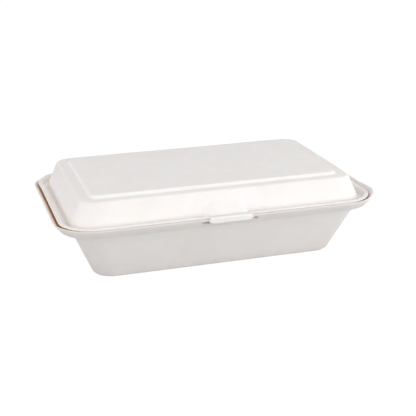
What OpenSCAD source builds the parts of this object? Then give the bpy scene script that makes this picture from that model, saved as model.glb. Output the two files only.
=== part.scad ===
// Hinged takeout container, moulded from plant fibre pulp in one shot:
// a flared tray with an upturned rim band, a stepped lid whose channelled rim
// nests inside that band, a fold line along the back and a tuck tab in front.
// Millimetres, +Z up. The origin is the middle of the footprint, on the table.
// The lid is drawn closed.

/* [Overall] */
// Length over the tray's rim
box_l = 248; // [220:1:280]
// Width over the tray's rim
box_w = 162; // [140:1:190]
// Plan radius of the tray's rim corners
rim_corner_r = 30; // [28:1:36]
// Thickness of the pulp
wall = 1; // [0.8:0.1:1.2]
// Running clearance between lid and tray
clearance = 0.3; // [0.2:0.05:0.4]

/* [Tray] */
// Height of the tray's rim edge above the table
tray_h = 47.8; // [42:0.5:60]
// Height of the upturned rim band
band_h = 7.5; // [7:0.1:9]
// How far the rim band leans out from foot to edge
band_flare = 5.4; // [5:0.1:6]
// How far the band's face bows out from flat
band_bow = 0.7; // [0.3:0.1:1]
// Width of the flat ledge between the rim band and the tray's wall
ledge_w = 7.5; // [7:0.1:9]
// How far the tray's wall leans in from ledge to floor
tray_draft = 17.1; // [14:0.1:20]
// Plan radius of the floor's corners
floor_corner_r = 15; // [13:0.5:17]
// Radius where the wall meets the floor
floor_fillet = 2.5; // [1.5:0.1:3]

/* [Lid] */
// Inset of the lid's rim edge from the tray's rim edge
lid_inset = 4; // [3.8:0.1:4.3]
// How far the lid's lip lies below the tray's rim edge
lip_sink = 0.2; // [0:0.1:0.4]
// Width of the flat lip round the lid's rim
lip_w = 3.2; // [3:0.1:3.5]
// How far the channel's outer wall leans in from lip to floor
channel_lean = 1; // [0.8:0.1:1.4]
// Width of the channel inside the lip, at its floor
channel_w = 3; // [2.5:0.1:3.5]
// Height of the lid's shoulder above the tray's rim edge
shoulder_h = 14.6; // [12:0.1:22]
// How far the lid's wall leans in from channel to shoulder
lid_draft = 8.4; // [6:0.1:10]
// Plan radius of the lid's shoulder corners
shoulder_corner_r = 12; // [11:0.5:14]
// Radius of the lid's shoulder edge
shoulder_fillet = 2.5; // [1.5:0.1:3.5]
// Width of the ledge round the raised panel
panel_ledge_w = 8; // [6:0.5:12]
// Height and run of the step up to the raised panel
panel_step = 2; // [1.6:0.1:3]
// Plan radius of the raised panel's corners
panel_corner_r = 6; // [4:0.5:8]

/* [Tab and boss] */
// Width of the tuck tab
tab_w = 34; // [26:1:38]
// Width of the tab's lower edge
tab_foot_w = 25; // [20:1:26]
// How far the tab hangs below the tray's rim edge
tab_drop = 3.5; // [3:0.1:4]
// How far down the tab's ends start to slant in
tab_end_drop = 1.6; // [1.4:0.1:2]
// Radius of the tab's lower corners
tab_corner_r = 3; // [1:0.1:3.5]
// Extra length of the slot at each end of the tab
slot_spare = 4.5; // [2:0.5:8]
// Height of the slot
slot_h = 1.6; // [1.2:0.1:1.8]
// How far the slot reaches up behind the tab's lower edge
slot_lap = 0.9; // [0.6:0.1:1]
// Width of the boss over the tab, across its face at the lip
boss_face_w = 24.6; // [20:0.2:30]
// Width across the boss's two slanted sides at the lid's wall
boss_foot_w = 35.8; // [33:0.2:42]
// Width of the boss at its top
boss_top_w = 21; // [16:0.5:26]
// Height of the boss's top above the tray's rim edge
boss_h = 8; // [6:0.1:10]

/* [Hinge] */
// Length of the fold along the back
hinge_l = 176; // [120:1:180]
// Distance of the fold line behind the tray's rim edge
hinge_reach = 1.45; // [1.4:0.05:3]

/* [Hidden] */

pulp = "#e9e6e1";
corner_steps = 8;
bend_steps = 3;
tight_bend = 1.2 * wall;

tray_ledge_z = tray_h - band_h;
tray_wall_inset = band_flare + ledge_w;
floor_inset = tray_wall_inset + tray_draft;
edge_land = 0.6;

lip_z = tray_h - lip_sink;
channel_z = tray_ledge_z + wall + clearance + wall;
channel_outer_inset = lid_inset + lip_w + channel_lean;
channel_inset = channel_outer_inset + channel_w;
shoulder_z = tray_h + shoulder_h;
shoulder_inset = channel_inset + lid_draft;
panel_foot_inset = shoulder_inset + panel_ledge_w;
panel_inset = panel_foot_inset + panel_step;
panel_z = shoulder_z + panel_step;

bridge_z = tray_h + clearance + wall;
fold_end = hinge_reach - clearance / 2;

// Length of line kept past the last bend, on the floor and on the panel.
run_out = 3;

// One closed ring of points: a rectangle inset s from the rim outline, with
// corner radius r, at height z, going anticlockwise seen from above.
function ring(s, z, r) =
    let (a = box_l / 2 - s - r, b = box_w / 2 - s - r)
    [for (q = [0:3], i = [0:corner_steps])
        let (t = 90 * (q + i / corner_steps),
             sx = (q == 0 || q == 3) ? 1 : -1,
             sy = (q < 2) ? 1 : -1)
        [sx * a + r * cos(t), sy * b + r * sin(t), z]];

function unit(v) = v / norm(v);
function left_of(v) = [-v[1], v[0]];
function flat(p) = [p[0], p[1]];

// The points of a bend of radius r at corner p, between points before and after.
function bend(before, p, after, r) =
    let (u = unit(before - p), v = unit(after - p), half = acos(u * v) / 2,
         c = p + unit(u + v) * r / sin(half), turn = 180 - 2 * half,
         start = p + u * r / tan(half) - c, end = p + v * r / tan(half) - c)
    [for (i = [0:bend_steps])
        c + (sin(turn * (1 - i / bend_steps)) * start + sin(turn * i / bend_steps) * end)
            / sin(turn)];

// A section line through corners given as [inset, height, bend radius].
function rounded(v) =
    [for (i = [0:len(v) - 1])
        each v[i][2] == 0 ? [flat(v[i])]
            : bend(flat(v[i - 1]), flat(v[i]), flat(v[i + 1]), v[i][2])];

// A section line moved sideways by d, mitred at each bend.
function offset_line(p, d) =
    let (last = len(p) - 1)
    [for (i = [0:last])
        let (n0 = left_of(unit(p[max(i, 1)] - p[max(i, 1) - 1])),
             n1 = left_of(unit(p[min(i, last - 1) + 1] - p[min(i, last - 1)])),
             m = unit(n0 + n1))
        p[i] + m * d / (m * n0)];

function reversed(p) = [for (i = [len(p) - 1:-1:0]) p[i]];

// A closed skin through rings that share one number of points, capped by the
// first and the last ring.
module skin(rings) {
    n = len(rings[0]);
    m = len(rings);
    points = [for (r = rings) each r];
    sides = [for (j = [0:m - 2], i = [0:n - 1])
        let (k = (i + 1) % n, lo = j * n, hi = (j + 1) * n)
        each [[lo + i, hi + i, hi + k], [lo + i, hi + k, lo + k]]];
    first_cap = [for (i = [0:n - 1]) i];
    last_cap = [for (i = [n - 1:-1:0]) (m - 1) * n + i];
    polyhedron(points, concat([first_cap], sides, [last_cap]), convexity = 8);
}

// A pulp shell between two section lines of (inset, height) pairs, the first
// running from the middle out to the rim and the second back to the middle;
// corner_r gives the plan radius at each inset.
module shell(out, back, corner_r) {
    skin([for (q = concat(out, back)) ring(q[0], q[1], lookup(q[0], corner_r))]);
}

// Section of the tray's outside, from the floor up to the rim edge.
tray_line = rounded([
    [floor_inset + run_out, 0, 0],
    [floor_inset, 0, floor_fillet],
    [tray_wall_inset, tray_ledge_z, tight_bend],
    [band_flare, tray_ledge_z, tight_bend],
    [band_flare / 2 - band_bow, tray_ledge_z + band_h / 2, 4 * tight_bend],
    [0, tray_h - edge_land, tight_bend],
    [0, tray_h, 0]]);
tray_corner = [
    [0, rim_corner_r],
    [tray_wall_inset, rim_corner_r - tray_wall_inset],
    [floor_inset, floor_corner_r],
    [floor_inset + run_out, floor_corner_r - run_out]];

// Section of the lid's outside, from the rim edge in to the raised panel.
lid_line = rounded([
    [lid_inset, lip_z - 1.5 * wall, 0],
    [lid_inset, lip_z, tight_bend],
    [lid_inset + lip_w, lip_z, tight_bend],
    [channel_outer_inset, channel_z, wall / 2],
    [channel_inset, channel_z, wall / 2],
    [shoulder_inset, shoulder_z, shoulder_fillet],
    [panel_foot_inset, shoulder_z, tight_bend],
    [panel_inset, panel_z, tight_bend],
    [panel_inset + run_out, panel_z, 0]]);
lid_corner = [
    [0, rim_corner_r],
    [channel_inset, rim_corner_r - channel_inset],
    [shoulder_inset, shoulder_corner_r],
    [panel_inset, panel_corner_r],
    [panel_inset + run_out, panel_corner_r - run_out / 2]];

// Inset of the lid's wall at height z.
function lid_wall_inset(z) =
    channel_inset + (z - channel_z) * lid_draft / (shoulder_z - channel_z);

// Where the boss's face rises from the lip, and how wide its sides stand there.
boss_lip_inset = lid_inset + tight_bend;
boss_lean = atan2(boss_h + wall, lid_wall_inset(tray_h + boss_h) - boss_lip_inset);

// The boss's body: its face leans back from the lip to the lid's wall, and its
// sides slant from the face to the wall. d moves its faces inwards and its back
// through the lid's wall.
module boss_body(d) {
    foot_inset = lid_wall_inset(lip_z - wall);
    top_inset = lid_wall_inset(tray_h + boss_h);
    face = boss_face_w / 2 - d;
    foot = boss_foot_w / 2 - d;
    top = boss_top_w / 2 - d;
    depth = wall / 2 + 2 * d;
    translate([0, d * sin(boss_lean) - box_w / 2, -d * cos(boss_lean)])
        hull() {
            slab(lip_z - wall, [[face, boss_lip_inset], [foot, foot_inset], [foot, foot_inset + depth]]);
            slab(tray_h + boss_h, [[top, top_inset], [top, top_inset + depth]]);
        }
}

// The end of the channel on both sides of the boss, down to the channel's floor.
module boss_foot(d) {
    reach = foot_slant() * (channel_inset - boss_lip_inset);
    near = boss_face_w / 2 + foot_slant() * (lid_inset + lip_w - boss_lip_inset) - d;
    translate([0, -box_w / 2, channel_z - wall - d])
        linear_extrude(lip_z - channel_z + wall / 2 + d)
            polygon(mirrored([
                [near, lid_inset + lip_w - wall / 2 - 2 * d],
                [boss_face_w / 2 + reach - d, channel_inset],
                [boss_face_w / 2 + reach - d, channel_inset + wall + 2 * d]]));
}

// How much the boss's half width grows per millimetre from the lip to the wall.
function foot_slant() =
    (boss_foot_w - boss_face_w) / 2 / (lid_wall_inset(lip_z - wall) - boss_lip_inset);

// Points of the right half, then the same points mirrored to the left.
function mirrored(p) = concat(p, [for (q = reversed(p)) [-q[0], q[1]]]);

// A thin slab at height z with the outline given by its right half.
module slab(z, half) {
    translate([0, 0, z])
        linear_extrude(0.02)
            polygon(mirrored(half));
}

// Section of the bridge from the lid's lip over the tray's rim edge, running
// from the lip out to a point past the rim edge.
function bridge_line(reach) =
    let (rise = bridge_z - lip_z, foot = lid_inset + lip_w - wall)
    [[foot, lip_z], [foot - rise, bridge_z], [-reach, bridge_z]];

// A strip of pulp of length l along X under the section line p, at the front.
module strip(p, l) {
    translate([-l / 2, 0, 0])
        rotate([90, 0, 90])
            linear_extrude(l)
                polygon([for (q = concat(p, reversed(offset_line(p, wall))))
                    [q[0] - box_w / 2, q[1]]]);
}

// The tuck tab: over the tray's rim edge, then hanging in front of the slot,
// with its ends slanting in to a shorter lower edge.
module tab() {
    front = clearance + wall;
    tip_z = tray_h - tab_drop;
    line = rounded([
        for (q = bridge_line(front)) [q[0], q[1], q[0] < 0 ? tight_bend : 0],
        [-front, tip_z, 0]]);
    intersection() {
        strip(line, tab_w);
        rotate([90, 0, 0])
            linear_extrude(box_w)
                hull() {
                    for (s = [-1, 1])
                        translate([s * (tab_foot_w / 2 - tab_corner_r), tip_z + tab_corner_r])
                            circle(tab_corner_r, $fn = 32);
                    translate([-tab_w / 2, tray_h - tab_end_drop])
                        square([tab_w, tab_end_drop + 2 * wall]);
                }
    }
}

// The lid's half of the fold, over the tray's half; they meet at the fold line
// and lie level, edge to edge, when the box is open flat.
module lid_fold() {
    rotate([0, 0, 180])
        strip(bridge_line(fold_end), hinge_l);
}

module tray_fold() {
    translate([-hinge_l / 2, box_w / 2 - wall / 2, tray_h - wall])
        cube([hinge_l, fold_end + wall / 2, wall]);
}

// The slot in the front of the rim band, at the tab's lower edge.
module tab_slot() {
    w = tab_w + 2 * slot_spare;
    translate([-w / 2, -box_w / 2, tray_h - tab_drop + slot_lap - slot_h])
        cube([w, band_flare + wall, slot_h]);
}

module tray() {
    color(pulp)
        difference() {
            union() {
                shell(tray_line, reversed(offset_line(tray_line, -wall)), tray_corner);
                tray_fold();
            }
            tab_slot();
        }
}

module lid() {
    color(pulp)
        difference() {
            union() {
                shell(reversed(offset_line(lid_line, -wall)), lid_line, lid_corner);
                boss_body(0);
                boss_foot(0);
                tab();
                lid_fold();
            }
            boss_body(wall);
            boss_foot(wall);
        }
}

tray();
lid();
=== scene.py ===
# %% [markdown]
# # A hinged takeout box of moulded pulp
#
# The real box is one thin sheet of plant fibre, pressed over a mould and folded along its
# back edge. It has no parts that were glued or screwed on, so its whole form can be told as
# a section line, carried round a rounded rectangle. That is how it is built here: a line in
# (inset, height), and a plan that says where each inset runs. This is quicker to correct than
# a box model with many edge loops, because one number moves a rim all the way round.

# %% Load the fixed frame
import math
import bpy
import numpy as np
from mathutils import Matrix


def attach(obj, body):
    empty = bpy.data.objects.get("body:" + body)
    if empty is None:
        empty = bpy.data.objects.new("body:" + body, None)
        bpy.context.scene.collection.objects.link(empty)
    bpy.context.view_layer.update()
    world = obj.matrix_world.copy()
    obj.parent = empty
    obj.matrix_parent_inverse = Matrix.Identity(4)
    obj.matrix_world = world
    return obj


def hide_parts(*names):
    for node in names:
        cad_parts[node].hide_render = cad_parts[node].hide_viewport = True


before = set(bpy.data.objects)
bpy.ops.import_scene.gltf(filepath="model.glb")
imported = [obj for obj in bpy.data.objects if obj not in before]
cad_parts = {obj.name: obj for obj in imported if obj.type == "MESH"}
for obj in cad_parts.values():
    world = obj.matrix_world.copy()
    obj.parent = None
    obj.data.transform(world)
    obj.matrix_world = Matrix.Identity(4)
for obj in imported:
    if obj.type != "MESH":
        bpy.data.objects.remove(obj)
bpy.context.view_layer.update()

# %% [markdown]
# ## Sizes
# All lengths are millimetres, as on a drawing, and turn into metres only when a mesh is made.
# They are the sizes of the solid part, so the skins drawn here lie on its faces or close to
# them. Only the rim band's bow is 0.2 less, since the band bends more softly here.

# %% The sizes of the box
MM = 0.001
BOX_L, BOX_W, RIM_R = 248.0, 162.0, 30.0
WALL, CLEAR = 1.0, 0.3
TRAY_H, BAND_H, BAND_FLARE, BAND_BOW = 47.8, 7.5, 5.4, 0.5
LEDGE_W, TRAY_DRAFT, FLOOR_R, FLOOR_FILLET = 7.5, 17.1, 15.0, 2.5
LID_INSET, LIP_SINK, LIP_W, CHANNEL_LEAN, CHANNEL_W = 4.0, 0.2, 3.2, 1.0, 3.0
SHOULDER_H, LID_DRAFT, SHOULDER_R, SHOULDER_FILLET = 14.6, 8.4, 12.0, 2.5
PANEL_LEDGE, PANEL_STEP, PANEL_R = 8.0, 2.0, 6.0
TAB_W, TAB_FOOT_W, TAB_DROP, TAB_END_DROP = 34.0, 25.0, 3.5, 1.6
SLOT_SPARE, SLOT_H, SLOT_LAP = 4.5, 1.6, 0.9
BOSS_FACE, BOSS_FOOT, BOSS_TOP, BOSS_H = 24.6, 35.8, 21.0, 8.0
HINGE_L, HINGE_REACH = 176.0, 1.45

LEDGE_Z = TRAY_H - BAND_H
WALL_INSET = BAND_FLARE + LEDGE_W
FLOOR_INSET = WALL_INSET + TRAY_DRAFT
LIP_Z = TRAY_H - LIP_SINK
CHANNEL_Z = LEDGE_Z + 2 * WALL + CLEAR
CHANNEL_OUT = LID_INSET + LIP_W + CHANNEL_LEAN
CHANNEL_IN = CHANNEL_OUT + CHANNEL_W
SHOULDER_Z = TRAY_H + SHOULDER_H
SHOULDER_INSET = CHANNEL_IN + LID_DRAFT
PANEL_FOOT = SHOULDER_INSET + PANEL_LEDGE
PANEL_INSET = PANEL_FOOT + PANEL_STEP
PANEL_Z = SHOULDER_Z + PANEL_STEP
BRIDGE_Z = TRAY_H + CLEAR + WALL
FOLD_END = HINGE_REACH - CLEAR / 2
SLOT_HALF = TAB_W / 2 + SLOT_SPARE
SLOT_TOP = TRAY_H - TAB_DROP + SLOT_LAP
SLOT_FOOT = SLOT_TOP - SLOT_H
MIDDLE = BOX_W / 2
BEND = 1.2 * WALL

# %% [markdown]
# ## The section line
# A drawing of the real mould is a row of corners with a radius at each. The helper below
# turns such corners into a smooth line. Long straight runs also get points, since the
# sheet is later given a slight waviness that needs somewhere to bend.

# %% Corners to a smooth line
def unit(v):
    """Vectors scaled to length one."""
    return v / np.linalg.norm(v, axis=-1, keepdims=True)


def bend(before, at, after, radius, steps=7):
    """An arc that touches both legs of a corner: its centre lies on the bisector at
    radius / sin(half angle), and the arc's points turn evenly from leg to leg."""
    u, v = unit(before - at), unit(after - at)
    half = math.acos(np.clip(u @ v, -1, 1)) / 2
    centre = at + unit(u + v) * radius / math.sin(half)
    start = at + u * radius / math.tan(half) - centre
    end = at + v * radius / math.tan(half) - centre
    turn = math.pi - 2 * half
    t = np.linspace(0, turn, steps)[:, None]
    return centre + (np.sin(turn - t) * start + np.sin(t) * end) / math.sin(turn)


def section(corners, step):
    """Corners are rows of inset, height and bend radius. Straight runs are cut into pieces
    no longer than step."""
    c = np.array(corners, float)
    parts = [c[:1, :2]]
    for k in range(1, len(c)):
        last = k == len(c) - 1
        arc = c[k:, :2] if last else bend(c[k - 1, :2], c[k, :2], c[k + 1, :2], c[k, 2])
        gap = np.linalg.norm(arc[0] - parts[-1][-1])
        n = max(1, math.ceil(gap / step))
        run = np.linspace(parts[-1][-1], arc[0], n + 1)[1:-1]
        parts += [run, arc]
    return np.concatenate(parts)


def offset(line, d):
    """The line moved by d to its left: each point goes along the mitre of its two
    neighbouring runs, by d over the cosine of half their turn."""
    run = unit(np.diff(line, axis=0))
    left = np.stack([-run[:, 1], run[:, 0]], 1)
    before, after = np.vstack([left[:1], left]), np.vstack([left, left[-1:]])
    mitre = unit(before + after)
    return line + mitre * d / np.sum(mitre * before, 1)[:, None]


def with_heights(line, heights):
    """The line with one point more where it first crosses each height."""
    for h in heights:
        above = line[:, 1] > h
        k = np.flatnonzero(above[1:] != above[:-1])[0]
        share = (h - line[k, 1]) / (line[k + 1, 1] - line[k, 1])
        line = np.insert(line, k + 1, line[k] + share * (line[k + 1] - line[k]), axis=0)
    return line


# %% [markdown]
# ## The two sections
# The mould trims the sheet with a slanting cut, so the tray's outer skin ends in a thin,
# crisp edge and its inner skin stops a little lower. The edge of the lid's lip is turned
# down and soft. One rounded edge for both would be less work, but on the tray it catches
# the light as a bright line that real boxes don't have.

# %% The tray's and the lid's lines
TRIM, TRIM_BULGE, EDGE_SINK = 0.7, 0.15, 0.1
BAND_BEND, LIP_BEND, CHANNEL_BEND = 4.8, 0.9, 0.6
TRAY_STEP, LID_STEP = 3.5, 1.5
SLOT_HEIGHTS = [SLOT_FOOT, SLOT_TOP]

tray_line = section([
    [MIDDLE, 0, 0], [FLOOR_INSET, 0, FLOOR_FILLET], [WALL_INSET, LEDGE_Z, BEND],
    [BAND_FLARE, LEDGE_Z, BEND], [BAND_FLARE / 2 - BAND_BOW, LEDGE_Z + BAND_H / 2, BAND_BEND],
    [0, TRAY_H - TRIM - 2 * EDGE_SINK, BEND], [0, TRAY_H - EDGE_SINK, 0]], TRAY_STEP)
tray_inner = offset(tray_line, -WALL)
tray_inner = with_heights(tray_inner, [TRAY_H - TRIM])
tray_inner = tray_inner[tray_inner[:, 1] <= TRAY_H - TRIM]
tray_under = with_heights(tray_line, SLOT_HEIGHTS)
tray_over = with_heights(tray_inner, SLOT_HEIGHTS)[::-1]

lid_over = section([
    [LID_INSET, LIP_Z - WALL, 0], [LID_INSET, LIP_Z, LIP_BEND], [LID_INSET + LIP_W, LIP_Z, BEND],
    [CHANNEL_OUT, CHANNEL_Z, CHANNEL_BEND], [CHANNEL_IN, CHANNEL_Z, CHANNEL_BEND],
    [SHOULDER_INSET, SHOULDER_Z, SHOULDER_FILLET], [PANEL_FOOT, SHOULDER_Z, BEND],
    [PANEL_INSET, PANEL_Z, BEND], [MIDDLE, PANEL_Z, 0]], LID_STEP)
lid_under = offset(lid_over, -WALL)[::-1]


def edge_cap(a, b, bulge=1.0, steps=7):
    """The cut edge of the sheet from a to b: half an ellipse that stands out by bulge times
    half the distance between them."""
    centre, arm = (a + b) / 2, (a - b) / 2
    out = np.array([arm[1], -arm[0]]) * bulge
    t = np.linspace(0, math.pi, steps)[1:-1, None]
    return centre + np.cos(t) * arm + np.sin(t) * out


tray_cap = edge_cap(tray_under[-1], tray_over[0], TRIM_BULGE)
tray_sec = np.concatenate([tray_under, tray_cap, tray_over])
lid_sec = np.concatenate([lid_under, edge_cap(lid_under[-1], lid_over[0]), lid_over])
print("section points:", len(tray_sec), len(lid_sec))

# %% [markdown]
# ## The plan
# Seen from above each inset is a rounded rectangle. The points along it are the same for
# every inset, so the rings stack into a grid of quads. They are close together in the
# middle of the front, where the boss, the tab and the slot are, and wider elsewhere.

# %% Carry a section round the plan
NEAR = 24.0
NEAR_POINTS, FAR_POINTS, END_POINTS, CORNER_STEPS = 31, 21, 26, 16
TRAY_RADII = [[0, RIM_R], [WALL_INSET, RIM_R - WALL_INSET], [FLOOR_INSET, FLOOR_R],
              [FLOOR_INSET + 3, FLOOR_R - 3], [MIDDLE, 0.0]]
LID_RADII = [[0, RIM_R], [CHANNEL_IN, RIM_R - CHANNEL_IN], [SHOULDER_INSET, SHOULDER_R],
             [PANEL_INSET, PANEL_R], [PANEL_INSET + 3, PANEL_R - 1.5], [MIDDLE, 0.0]]

near_x = np.union1d(np.linspace(0, NEAR, NEAR_POINTS), [SLOT_HALF])
far_share = np.linspace(0, 1, FAR_POINTS)[1:]
front_points = 2 * (len(near_x) + len(far_share)) - 1


def plan(inset, radii):
    """x and y of every ring. A ring is a rectangle of half sizes (half box - inset), its
    corners rounded by the radius read off the table. On the long sides x is fixed near the
    middle and then runs evenly to the corner; the corners are quarter circles."""
    table = np.array(radii, float)
    r = np.interp(inset, table[:, 0], table[:, 1])[:, None]
    a, b = BOX_L / 2 - inset[:, None] - r, BOX_W / 2 - inset[:, None] - r
    near = np.broadcast_to(near_x, (len(a), len(near_x)))
    half = np.concatenate([near, NEAR + far_share * (a - NEAR)], 1)
    front_x = np.concatenate([-half[:, :0:-1], half], 1)
    end_y = np.linspace(-1, 1, END_POINTS) * b
    t = np.linspace(0, math.pi / 2, CORNER_STEPS + 1)[1:-1]
    cx, cy = a + r * np.cos(t), b + r * np.sin(t)
    front_y = np.broadcast_to(-(b + r), front_x.shape)
    end_x = np.broadcast_to(a + r, end_y.shape)
    x = [front_x, cx[:, ::-1], end_x, cx, -front_x, -cx[:, ::-1], -end_x, -cx]
    y = [front_y, -cy[:, ::-1], end_y, cy, -front_y, cy[:, ::-1], -end_y, -cy]
    return np.concatenate(x, 1), np.concatenate(y, 1)


def shell(sec, radii):
    """A grid of points: the section carried round the plan, one row for each of its points."""
    x, y = plan(sec[:, 0], radii)
    return x, y, np.repeat(sec[:, 1:], x.shape[1], 1)


tray_x, tray_y, tray_z = shell(tray_sec, TRAY_RADII)
lid_x, lid_y, lid_z = shell(lid_sec, LID_RADII)
print("tray grid", tray_x.shape, "lid grid", lid_x.shape)

# %% [markdown]
# ## The boss
# Above the tab the lid's wall is pressed out to a slanted face with two slanted sides. It
# could be a separate wedge, but pressed pulp has no seams there. Seen from above the
# lid's skin is a height for each place, so the boss is the larger of two heights: the
# wall's own, and the lowest of the boss's planes.

# %% Press the boss out of the lid
STEEP, TOP_LIFT = 6.0, 0.3
FACE_BLEND, END_BLEND, TOP_BLEND, WALL_BLEND = 1.0, 0.4, 0.5, 0.5


def soft_max(a, b, k):
    """The larger of two heights, rounded over a band of k where they are nearly equal."""
    near = np.maximum(k - np.abs(a - b), 0) / k
    return np.maximum(a, b) + near ** 2 * k / 4


def soft_min(a, b, k):
    """The smaller of two heights, rounded in the same way."""
    return -soft_max(-a, -b, k)


def wall_inset(z):
    """Inset of the lid's sloping wall at height z."""
    return CHANNEL_IN + (z - CHANNEL_Z) * LID_DRAFT / (SHOULDER_Z - CHANNEL_Z)


def boss_height(x, s, d):
    """Height of the boss at place x and inset s. Four planes: the face, the slanted side,
    the steep end below the lip, and a level top. Each is sunk by d, measured square to it,
    and where two meet, their edge is rounded over its blend."""
    lip_s, foot_z, top_z = LID_INSET + BEND, LIP_Z - WALL, TRAY_H + BOSS_H
    foot_s, top_s = wall_inset(foot_z), wall_inset(top_z)
    face_rise = (top_z - foot_z) / (top_s - lip_s)
    slant = (BOSS_FOOT - BOSS_FACE) / 2 / (foot_s - lip_s)
    side_fall = (top_z - foot_z) / ((BOSS_FACE - BOSS_TOP) / 2 + slant * (top_s - lip_s))
    foot_x = BOSS_FACE / 2 + slant * (s - lip_s)
    face = foot_z + face_rise * (s - lip_s) - d * math.hypot(1, face_rise)
    widen = math.hypot(1, slant)
    side = foot_z + side_fall * (foot_x - abs(x)) - d * math.hypot(1, side_fall * widen)
    end = foot_z + STEEP * (foot_x - abs(x)) - d * math.hypot(1, STEEP * widen)
    top = np.full_like(face, top_z + TOP_LIFT - d)
    wedge = soft_min(soft_min(face, side, FACE_BLEND), end, END_BLEND)
    return soft_min(wedge, top, TOP_BLEND)


is_under = (np.arange(len(lid_sec)) < len(lid_under))[:, None]
front_inset = lid_y + MIDDLE
boss = np.where(is_under, boss_height(lid_x, front_inset, WALL), boss_height(lid_x, front_inset, 0.0))
presses = (lid_y < 0) & (abs(lid_x) < NEAR) & (lid_sec[:, :1] > LID_INSET + LIP_BEND)
lid_z = np.where(presses, soft_max(lid_z, boss, WALL_BLEND), lid_z)
print("boss stands up to", round(float((lid_z - lid_sec[:, 1:]).max()), 2), "mm over the wall")

# %% [markdown]
# ## Waviness and warp
# Pulp dries unevenly, so no face is quite flat and no rim quite straight. A few slow waves,
# far below a millimetre, break up the reflections. They only lift the tray and only sink
# the lid, so the box still stands on its floor and keeps its height. The rims are free at
# their edges. On this box the tray's rim has sunk and drawn in at the back left corner,
# with the lid's lip a little, and it stands slightly high at the front right.

# %% Slow waves and the warp of the rims
WAVE = 0.12
BACK_LEFT, FRONT_RIGHT = (-116.0, 66.0), (122.0, -58.0)
SINK_REACH, RISE_REACH, LIP_REACH = 42.0, 30.0, 34.0
RIM_SINK, RIM_DRAW_IN, RIM_RISE, LIP_DROP = 3.6, 1.3, 1.4, 0.9


def waves(x, y):
    """Three slow sine waves across the plan, in millimetres, between -WAVE and WAVE."""
    return (0.05 * np.sin(x / 17 + 0.7) * np.cos(y / 23)
            + 0.04 * np.sin(y / 13 - x / 31) + 0.03 * np.cos(x / 9 + y / 11))


def swelling(x, y, place, reach):
    """A smooth hump round a place, (1 - (distance / reach)^2)^2, one high and reach wide."""
    far = np.hypot(x - place[0], y - place[1]) / reach
    return np.clip(1 - far ** 2, 0, 1) ** 2


# The rims move most at their free edge and not at all at the foot of the band or channel.
band_share = np.clip((tray_z - LEDGE_Z) / BAND_H, 0, 1) * (tray_sec[:, :1] < WALL_INSET)
lip_share = np.clip((lid_z - CHANNEL_Z) / (LIP_Z - CHANNEL_Z), 0, 1) * (lid_sec[:, :1] < CHANNEL_OUT)
sunk = swelling(tray_x, tray_y, BACK_LEFT, SINK_REACH) * band_share
raised = swelling(tray_x, tray_y, FRONT_RIGHT, RISE_REACH) * band_share
tray_x = tray_x + RIM_DRAW_IN * sunk
tray_waves = (waves(tray_x, tray_y) + WAVE) * (tray_sec[:, :1] > WALL_INSET)
tray_z = tray_z + tray_waves - RIM_SINK * sunk + RIM_RISE * raised
lid_waves = (waves(lid_x, lid_y) - WAVE) * (lid_sec[:, :1] > CHANNEL_IN)
lid_z = lid_z + lid_waves - LIP_DROP * swelling(lid_x, lid_y, BACK_LEFT, LIP_REACH) * lip_share
print("lowest", round(float(tray_z.min()), 3), "highest", round(float(lid_z.max()), 3))

# %% [markdown]
# ## From grids to faces
# The section goes from the middle out to the rim and back, so one grid holds the outer
# skin, the edge and the inner skin. At the middle the last ring falls onto a line, where
# the two sides are welded. The slot is a window: the grid has rows at its two heights on
# both skins, so the quads between them come out and four walls go in.

# %% Faces of the two skins
def closed_quads(rows, cols):
    """Quads of a grid whose columns close round into a ring."""
    i = np.arange(rows * cols).reshape(rows, cols)
    j = np.roll(i, -1, 1)
    return np.stack([i[:-1], j[:-1], j[1:], i[1:]], -1)


def weld(points, faces, step=0.001):
    """Points that fall on one place become one. Faces lose repeated corners, and those of
    fewer than three corners are dropped."""
    keys, index = np.unique(np.round(points / step).astype(np.int64), axis=0, return_inverse=True)
    index = index.ravel()
    kept = np.zeros((len(keys), 3))
    kept[index] = points
    out = []
    for face in faces:
        corners = [index[v] for v in face]
        corners = [v for k, v in enumerate(corners) if v != corners[k - 1]]
        if len(set(corners)) == len(corners) and len(corners) > 2:
            out.append([int(v) for v in corners])
    return kept, out


def slot_window(quads, cols):
    """The tray's faces with the slot cut through both skins of the rim band."""
    rows = [np.flatnonzero(np.isclose(tray_sec[:, 1], h)) for h in SLOT_HEIGHTS]
    (foot_out, foot_in), (top_out, top_in) = rows
    front_x = tray_x[0, :front_points]
    left = int(np.flatnonzero(np.isclose(front_x, -SLOT_HALF))[0])
    right = int(np.flatnonzero(np.isclose(front_x, SLOT_HALF))[0])
    keep = np.ones(quads.shape[:2], bool)
    keep[foot_out:top_out, left:right] = False
    keep[top_in:foot_in, left:right] = False
    faces = quads[keep].tolist()
    for low, high in ((foot_out * cols, foot_in * cols), (top_in * cols, top_out * cols)):
        for c in range(left, right):
            faces.append([low + c, low + c + 1, high + c + 1, high + c])
    ring = list(range(foot_out, top_out + 1)) + list(range(top_in, foot_in + 1))
    faces.append([r * cols + right for r in ring])
    faces.append([r * cols + left for r in ring[::-1]])
    return faces


tray_points, tray_faces = weld(np.stack([tray_x, tray_y, tray_z], -1).reshape(-1, 3),
                               slot_window(closed_quads(*tray_x.shape), tray_x.shape[1]))
lid_points, lid_faces = weld(np.stack([lid_x, lid_y, lid_z], -1).reshape(-1, 3),
                             closed_quads(*lid_x.shape).reshape(-1, 4).tolist())
print("tray faces", len(tray_faces), "lid faces", len(lid_faces))

# %% [markdown]
# ## Tab and fold
# The tuck tab in front and the two halves of the fold behind are the same sheet, run out
# past the rim. Each is a strip that follows a line in (inset, height) and has a width at
# every point of it. A box with a bevel would do from afar. This strip has two skins that
# meet along a round edge, as a pressed edge has.

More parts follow.
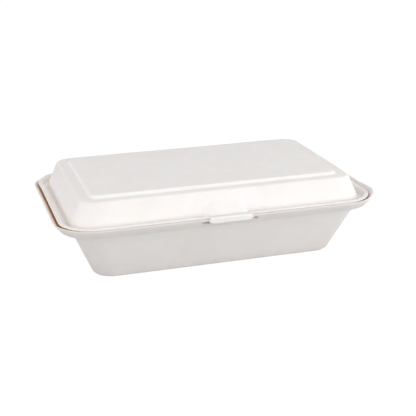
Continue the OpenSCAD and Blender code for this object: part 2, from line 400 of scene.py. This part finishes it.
# %% Strips of sheet
EDGE = np.array([0.0, 0.06, 0.24, 0.54, 1.0])
STRIP_ROWS, STRIP_COLS = 24, 41


def along(line, places):
    """Points of a line at these distances from its start, measured along it."""
    run = np.concatenate([[0], np.cumsum(np.linalg.norm(np.diff(line, axis=0), axis=1))])
    return np.stack([np.interp(places, run, line[:, k]) for k in (0, 1)], 1), run[-1]


def strip(line, half_width, side, thick=WALL):
    """A strip of sheet about a middle line. Its half thickness is that of a half circle near
    the outline, sqrt(1 - (1 - d)^2) with d the distance in half thicknesses, and then even.
    half_width gives half the strip's width at each height; side is -1 in front, 1 behind."""
    r = thick / 2
    length = along(line, [0])[1]
    inner = np.linspace(r, length - r, STRIP_ROWS)[1:-1]
    places = np.concatenate([EDGE * r, inner, length - EDGE[::-1] * r])
    mid = along(line, places)[0]
    run = unit(np.gradient(mid, axis=0))
    normal = np.stack([-run[:, 1], run[:, 0]], 1)
    half = half_width(mid[:, 1])[:, None]
    at_edge = len(EDGE) - 1
    across = np.concatenate([np.zeros(at_edge), np.linspace(0, 1, STRIP_COLS), np.ones(at_edge)])
    shift = np.concatenate([EDGE * r, np.full(STRIP_COLS - 2, r), EDGE[::-1] * r])
    x = (half - shift) * np.where(across == 0, -1, np.where(across == 1, 1, 2 * across - 1))
    d_side = (half - abs(x)) / r
    d_end = (np.minimum(places, length - places) / r)[:, None]
    d = np.clip(np.minimum(d_side, d_end), 0, 1)
    t = r * np.sqrt(np.maximum(1 - (1 - d) ** 2, 0))
    skins = []
    for face in (1, -1):
        s = mid[:, :1] + normal[:, :1] * t * face
        z = mid[:, 1:] + normal[:, 1:] * t * face
        skins.append(np.stack([x, side * (MIDDLE - s), z], -1))
    rows, cols = x.shape
    i = np.arange(rows * cols).reshape(rows, cols)
    quads = np.stack([i[:-1, :-1], i[:-1, 1:], i[1:, 1:], i[1:, :-1]], -1).reshape(-1, 4)
    faces = np.concatenate([quads, quads[:, ::-1] + rows * cols])
    points, faces = weld(np.concatenate(skins).reshape(-1, 3), faces.tolist(), 0.0005)
    return points, outward(points, faces)


def outward(points, faces):
    """The faces turned outwards: their signed volume, a sixth of the sum of a . (b x c) over
    the triangles, comes out positive."""
    volume = 0
    for f in faces:
        for k in range(1, len(f) - 1):
            volume += points[f[0]] @ np.cross(points[f[k]], points[f[k + 1]])
    return faces if volume > 0 else [f[::-1] for f in faces]


def tab_half(z):
    """Half the tab's width at height z: widest where the ends start to slant, rounded in
    below towards the lower edge and a little above towards the rim."""
    start, tip = TRAY_H - TAB_END_DROP, TRAY_H - TAB_DROP
    below = np.clip((start - z) / (start - tip), 0, 1)
    above = np.clip((z - start) / (BRIDGE_Z - start), 0, 1)
    return TAB_W / 2 - (TAB_W - TAB_FOOT_W) / 2 * below ** 1.6 - TAB_SHRUG * above ** 1.4


def fold_half(z):
    """Half the fold's width, the same at every height."""
    return np.full(len(z), HINGE_L / 2)


TAB_THICK, TAB_SHRUG, TAB_TOP = 0.8, 2.5, TRAY_H + 0.9
TAB_RISE_FROM, TAB_RISE_TO = 2.2, 0.9
CREASE_W, CREASE_THICK, CREASE_INSET = 0.65, 0.6, 0.05
TAB_STEP, FOLD_STEP = 0.4, 0.5

# The tab and the lid's half of the fold both start inside the sheet of the lid's lip.
start = LID_INSET + LIP_W - WALL
tab_front = -CLEAR - WALL
tab_line = section([[start, LIP_Z, 0], [TAB_RISE_FROM, TRAY_H, BEND], [TAB_RISE_TO, TAB_TOP, BEND],
                    [tab_front, TAB_TOP, BEND], [tab_front, TRAY_H - TAB_DROP, 0]], TAB_STEP)
tab = strip(offset(tab_line, TAB_THICK / 2), tab_half, -1, TAB_THICK)
fold_line = section([[start, LIP_Z, 0], [start - (BRIDGE_Z - LIP_Z), BRIDGE_Z, BEND],
                     [-FOLD_END, BRIDGE_Z, 0]], FOLD_STEP)
lid_fold = strip(offset(fold_line, WALL / 2), fold_half, 1)
sheet_z = TRAY_H - WALL / 2
tray_fold = strip(np.array([[WALL / 2, sheet_z], [-FOLD_END, sheet_z]]), fold_half, 1)
crease_z, crease_s = TRAY_H + CLEAR / 2, CREASE_INSET - FOLD_END
crease = strip(np.array([[crease_s + CREASE_W, crease_z], [crease_s, crease_z]]),
               fold_half, 1, CREASE_THICK)
print("tab faces", len(tab[1]), "fold faces", len(lid_fold[1]), len(tray_fold[1]), len(crease[1]))

# %% [markdown]
# ## One mesh for each moving half
# The tray with its half of the fold is one piece of pulp, and so is the lid with its tab
# and its half. Each becomes one mesh, so a buyer of the model finds two objects, as the
# hinge has two sides. Edges sharper than 40 degrees stay crisp.

# %% Grids to meshes
def make_mesh(name, parts):
    """A mesh object at the origin from (points in millimetres, faces) of each part."""
    points, faces, start = [], [], 0
    for part_points, part_faces in parts:
        points.append(part_points)
        faces += [[v + start for v in f] for f in part_faces]
        start += len(part_points)
    mesh = bpy.data.meshes.new(name)
    mesh.from_pydata((np.concatenate(points) * MM).tolist(), [], faces)
    mesh.validate()
    mesh.shade_smooth()
    mesh.set_sharp_from_angle(angle=math.radians(40))
    mesh.update()
    obj = bpy.data.objects.new(name, mesh)
    bpy.context.scene.collection.objects.link(obj)
    return obj


tray = make_mesh("tray_skin", [(tray_points, tray_faces), tray_fold, crease])
lid = make_mesh("lid_skin", [(lid_points, lid_faces), tab, lid_fold])
for obj, node in ((tray, "tray"), (lid, "lid")):
    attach(obj, node)
    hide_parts(node)
    print(obj.name, len(obj.data.polygons), "faces")

# %% [markdown]
# ## Pulp
# Bleached plant pulp is a warm white. It is dull, and light goes a little way into it, the
# red part furthest. In the narrow gap between rim and lip nearly all light has passed
# through pulp or bounced off it many times, and it looks tan there. That tan is painted
# shade and painted warm bounce light: it is multiplied into the colour by how enclosed a place
# is, measured within a few millimetres, so it goes away by itself when the gap opens. It counts
# only at the left end, where the photo shows it; the seam along the front stays grey.
# A fine grain of fibres shows as a faint unevenness in colour and height.

# %% The pulp material
PULP_LIGHT = (0.900, 0.865, 0.850, 1)
PULP_DARK = (0.870, 0.831, 0.811, 1)
# Colour of the painted shade and painted warm bounce light in the gap between rim and lip.
GAP_PAINTED_SHADE = (1.0, 0.68, 0.36, 1)
GAP_REACH = 0.006
GAP_DEEP, GAP_OPEN = 0.12, 0.48
GAP_END_X, GAP_END_FADE = -0.096, 0.012
SCATTER = (1.0, 0.6, 0.35)
FIBRE_LAYERS = ((0.5, (260, 1500, 1500)), (2.1, (240, 1700, 1300)), (0.0, (900, 900, 900)))


def pulp_material():
    """A dull warm white with slight scattering, cloudy tone, a fibre grain, and a painted tan shade
    in enclosed gaps at the left end.
    """
    material = bpy.data.materials.new("moulded_pulp")
    material.use_nodes = True
    nodes, links = material.node_tree.nodes, material.node_tree.links
    shader = nodes["Principled BSDF"]
    shader.inputs["Roughness"].default_value = 0.7
    shader.inputs["Specular IOR Level"].default_value = 0.3
    shader.inputs["Subsurface Weight"].default_value = 0.25
    shader.inputs["Subsurface Radius"].default_value = SCATTER
    shader.inputs["Subsurface Scale"].default_value = 0.0014
    place = nodes.new("ShaderNodeTexCoord")

    clouds = nodes.new("ShaderNodeTexNoise")
    clouds.inputs["Scale"].default_value = 55
    clouds.inputs["Detail"].default_value = 9
    clouds.inputs["Roughness"].default_value = 0.62
    tone = nodes.new("ShaderNodeValToRGB")
    tone.color_ramp.elements[0].position = 0.32
    tone.color_ramp.elements[0].color = PULP_DARK
    tone.color_ramp.elements[1].position = 0.68
    tone.color_ramp.elements[1].color = PULP_LIGHT
    links.new(place.outputs["Object"], clouds.inputs["Vector"])
    links.new(clouds.outputs["Fac"], tone.inputs["Fac"])

    # Painted shade: the tan is multiplied into the colour where the surface is enclosed within a few
    # millimetres.
    enclosed = nodes.new("ShaderNodeAmbientOcclusion")
    enclosed.samples = 8
    enclosed.inputs["Distance"].default_value = GAP_REACH
    warm = nodes.new("ShaderNodeValToRGB")
    warm.color_ramp.elements[0].position = GAP_DEEP
    warm.color_ramp.elements[0].color = GAP_PAINTED_SHADE
    warm.color_ramp.elements[1].position = GAP_OPEN
    warm.color_ramp.elements[1].color = (1, 1, 1, 1)
    gap_shade_mix = nodes.new("ShaderNodeMix")
    gap_shade_mix.data_type, gap_shade_mix.blend_type = "RGBA", "MULTIPLY"
    across = nodes.new("ShaderNodeSeparateXYZ")
    left_end = nodes.new("ShaderNodeMapRange")
    left_end.inputs["From Min"].default_value = GAP_END_X
    left_end.inputs["From Max"].default_value = GAP_END_X - GAP_END_FADE
    links.new(place.outputs["Object"], across.inputs[0])
    links.new(across.outputs["X"], left_end.inputs["Value"])
    links.new(left_end.outputs["Result"], gap_shade_mix.inputs[0])
    links.new(enclosed.outputs["AO"], warm.inputs["Fac"])
    links.new(tone.outputs["Color"], gap_shade_mix.inputs[6])
    links.new(warm.outputs["Color"], gap_shade_mix.inputs[7])
    links.new(gap_shade_mix.outputs[2], shader.inputs["Base Color"])

    normal = None
    for turn, stretch in FIBRE_LAYERS:
        mapping = nodes.new("ShaderNodeMapping")
        mapping.inputs["Rotation"].default_value = (0.3 * turn, 0.2 * turn, turn)
        mapping.inputs["Scale"].default_value = stretch
        fibres = nodes.new("ShaderNodeTexNoise")
        fibres.inputs["Scale"].default_value = 1
        fibres.inputs["Detail"].default_value = 3
        bump = nodes.new("ShaderNodeBump")
        bump.inputs["Strength"].default_value = 0.35
        bump.inputs["Distance"].default_value = 0.00012
        links.new(place.outputs["Object"], mapping.inputs["Vector"])
        links.new(mapping.outputs["Vector"], fibres.inputs["Vector"])
        links.new(fibres.outputs["Fac"], bump.inputs["Height"])
        if normal:
            links.new(normal.outputs["Normal"], bump.inputs["Normal"])
        normal = bump
    links.new(normal.outputs["Normal"], shader.inputs["Normal"])
    return material


pulp = pulp_material()
for obj in (tray, lid):
    obj.data.materials.append(pulp)
print("pulp is made of", len(pulp.node_tree.nodes), "nodes")

# %% [markdown]
# ## Floor and light
# The floor is grey for light that bounces off it, and white to the camera, with a part of
# its shading kept so that the box's shadow still shows. More lamps would whiten it too, but
# they would burn out the pale walls. The room is even and pale. Low soft boxes in front and
# at both ends light the walls, as in a tent for product photos, and a high one the top. The
# right one is nearest and counts most, so the walls grow lighter towards the right.

# %% Floor and room
def seen_or_bounced(tree, seen, bounced, target):
    """The first shader for camera, glossy and transmission rays, the second for the rest."""
    path = tree.nodes.new("ShaderNodeLightPath")
    last = bounced
    for kind in ("Is Camera Ray", "Is Glossy Ray", "Is Transmission Ray"):
        mix = tree.nodes.new("ShaderNodeMixShader")
        tree.links.new(path.outputs[kind], mix.inputs[0])
        tree.links.new(last, mix.inputs[1])
        tree.links.new(seen, mix.inputs[2])
        last = mix.outputs[0]
    tree.links.new(last, target)


FLOOR_BOUNCE = (0.46, 0.46, 0.455, 1)
FLOOR_GLOW, FLOOR_SHADE = 0.87, 0.24

floor_mesh = bpy.data.meshes.new("floor")
floor_mesh.from_pydata([(-6, -6, 0), (6, -6, 0), (6, 6, 0), (-6, 6, 0)], [], [(0, 1, 2, 3)])
floor = bpy.data.objects.new("floor", floor_mesh)
bpy.context.scene.collection.objects.link(floor)

paper = bpy.data.materials.new("white_floor")
paper.use_nodes = True
tree = paper.node_tree
bounced = tree.nodes["Principled BSDF"]
bounced.inputs["Base Color"].default_value = FLOOR_BOUNCE
bounced.inputs["Roughness"].default_value = 1.0
lit = tree.nodes.new("ShaderNodeBsdfDiffuse")
lit.inputs["Color"].default_value = (FLOOR_SHADE, FLOOR_SHADE, FLOOR_SHADE, 1)
glow = tree.nodes.new("ShaderNodeEmission")
glow.inputs["Strength"].default_value = FLOOR_GLOW
seen = tree.nodes.new("ShaderNodeAddShader")
tree.links.new(lit.outputs[0], seen.inputs[0])
tree.links.new(glow.outputs[0], seen.inputs[1])
paper_surface = tree.nodes["Material Output"].inputs["Surface"]
seen_or_bounced(tree, seen.outputs[0], bounced.outputs[0], paper_surface)
floor_mesh.materials.append(paper)

ROOM = 0.60
world = bpy.data.worlds.new("studio")
bpy.context.scene.world = world
world.use_nodes = True
tree = world.node_tree
room = tree.nodes["Background"]
room.inputs["Color"].default_value = (1, 1, 1, 1)
room.inputs["Strength"].default_value = ROOM
white = tree.nodes.new("ShaderNodeBackground")
white.inputs["Strength"].default_value = 1.0
room_surface = tree.nodes["World Output"].inputs["Surface"]
seen_or_bounced(tree, white.outputs[0], room.outputs[0], room_surface)
print("floor", floor.name, "and room of strength", ROOM)

# %% Lamps
AIM_Z = 0.04


def area_light(name, azimuth, elevation, distance, size, power):
    """A square soft box that faces the box's middle, in degrees, metres and watts. Azimuth 0
    is straight in front and 90 is at the right end."""
    a, e = math.radians(azimuth), math.radians(elevation)
    back = np.array([math.sin(a) * math.cos(e), -math.cos(a) * math.cos(e), math.sin(e)])
    right = unit(np.cross([0, 0, 1.0], back))
    m = np.eye(4)
    m[:3, :3] = np.stack([right, np.cross(back, right), back], 1)
    m[:3, 3] = back * distance + [0, 0, AIM_Z]
    data = bpy.data.lights.new(name, "AREA")
    data.size, data.energy = size, power
    obj = bpy.data.objects.new(name, data)
    obj.matrix_world = Matrix(m.tolist())
    bpy.context.scene.collection.objects.link(obj)
    print("lamp", name, "of", power, "W at", distance, "m")


area_light("front", 0, 5, 1.2, 0.6, 4.1)
area_light("right", 60, 8, 0.8, 0.5, 2.5)
area_light("left", -75, 15, 1.0, 0.6, 2.6)
area_light("high", 20, 70, 1.6, 0.8, 4.0)

# %% [markdown]
# ## Camera
# The camera's place and focal length are those at which the rim, the ridges and the floor
# line of the box fall where the photograph has them. They were fitted together with the
# box's proportions. A constraint could aim it, but the slight roll is part of the fit.

# %% Camera
FOCAL_PX, IMAGE_PX, SENSOR = 947.5, 416, 36
AZIMUTH, ELEVATION, ROLL = -17.05, 18.90, -0.59
CAMERA_PLACE = (-203.44, -688.87, 273.61)
HALF_PX = 0.5


def look(azimuth, elevation, roll):
    """Camera axes as columns: right, up and back, for a view at this azimuth and elevation."""
    a, e, r = np.radians([azimuth, elevation, roll])
    back = np.array([math.sin(a) * math.cos(e), -math.cos(a) * math.cos(e), math.sin(e)])
    right = unit(np.cross(-back, [0, 0, 1.0]))
    up = np.cross(right, -back)
    right, up = (math.cos(r) * right + math.sin(r) * up, -math.sin(r) * right + math.cos(r) * up)
    return np.stack([right, up, back], 1)


camera = bpy.data.objects.new("camera", bpy.data.cameras.new("camera"))
bpy.context.scene.collection.objects.link(camera)
m = np.eye(4)
m[:3, :3] = look(AZIMUTH, ELEVATION, ROLL)
m[:3, 3] = np.array(CAMERA_PLACE) * MM
camera.matrix_world = Matrix(m.tolist())
camera.data.sensor_width = SENSOR
camera.data.lens = FOCAL_PX / IMAGE_PX * SENSOR
camera.data.shift_x = -HALF_PX / IMAGE_PX
camera.data.shift_y = HALF_PX / IMAGE_PX
bpy.context.scene.camera = camera
print("lens", round(camera.data.lens, 1), "mm")
bpy.context.scene.view_settings.view_transform = "Standard"
